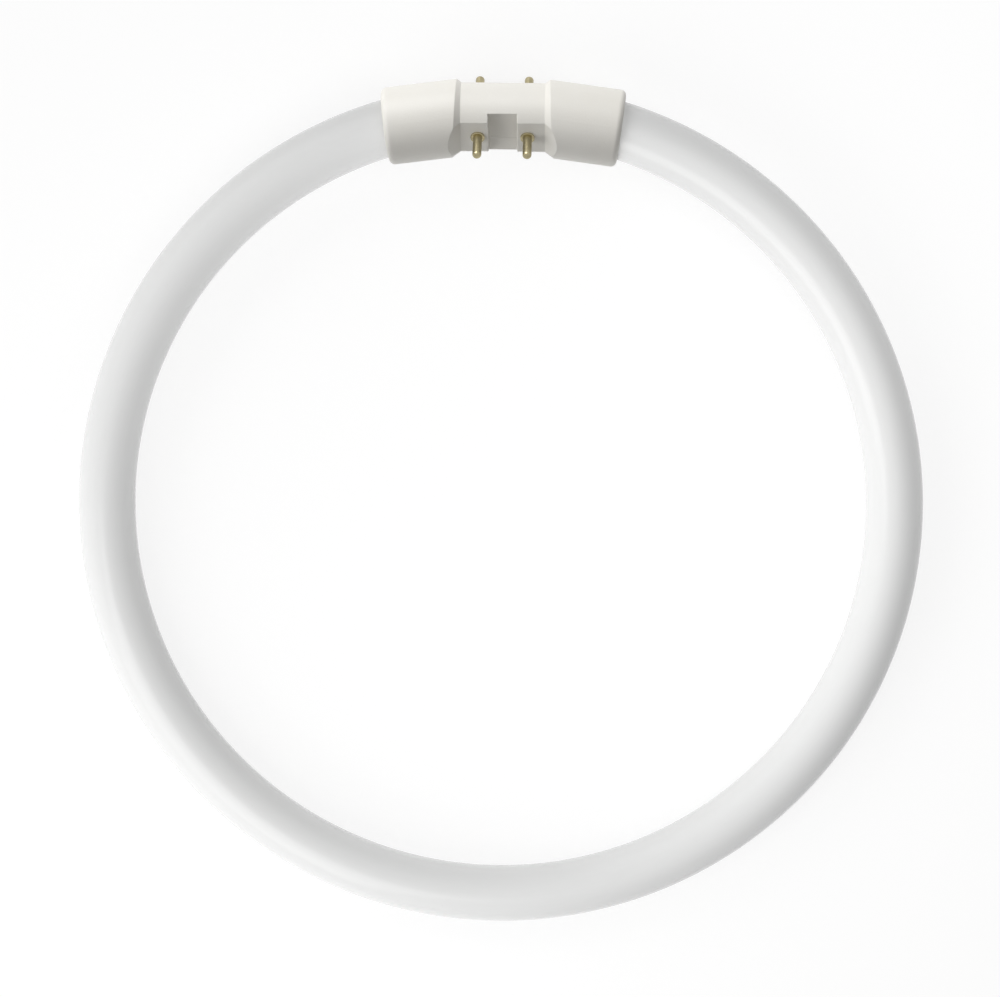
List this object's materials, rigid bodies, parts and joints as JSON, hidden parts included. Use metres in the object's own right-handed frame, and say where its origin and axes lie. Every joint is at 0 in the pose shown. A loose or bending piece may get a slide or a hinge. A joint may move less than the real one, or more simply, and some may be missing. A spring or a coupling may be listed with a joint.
{
  "type": "circular fluorescent tube",
  "caption": "Slim ring-shaped fluorescent lamp: a white coated glass tube bent into a circle, its ends joined by a plastic bridge cap with opposed slanted brass contact pins and a keyway.",
  "frame": {"origin": "centre of the glass ring, in the middle plane of the tube", "axes": "+Z along the ring's axis, out of the side that shows the inward-pointing pins; +Y from the ring's centre to the bridge cap; +X along the cap, to the right in the picture"},
  "size_m": [0.225, 0.2269, 0.0216],
  "materials": {
    "coated_glass": "clear glossy glass over an opaque white powder coating",
    "cap_plastic": "satin moulded ivory plastic",
    "pin_brass": "turned, lightly dulled",
    "wire_nickel": "drawn nickel-plated wire"
  },
  "bodies": {
    "root": {"glass_tube": "coated_glass", "cap_shell_front": "cap_plastic", "cap_shell_rear": "cap_plastic", "pin_front_left": "pin_brass", "pin_front_right": "pin_brass", "pin_rear_left": "pin_brass", "pin_rear_right": "pin_brass", "lead_wire_front_left": "wire_nickel", "lead_wire_front_right": "wire_nickel", "lead_wire_rear_left": "wire_nickel", "lead_wire_rear_right": "wire_nickel"}
  },
  "joints": []
}
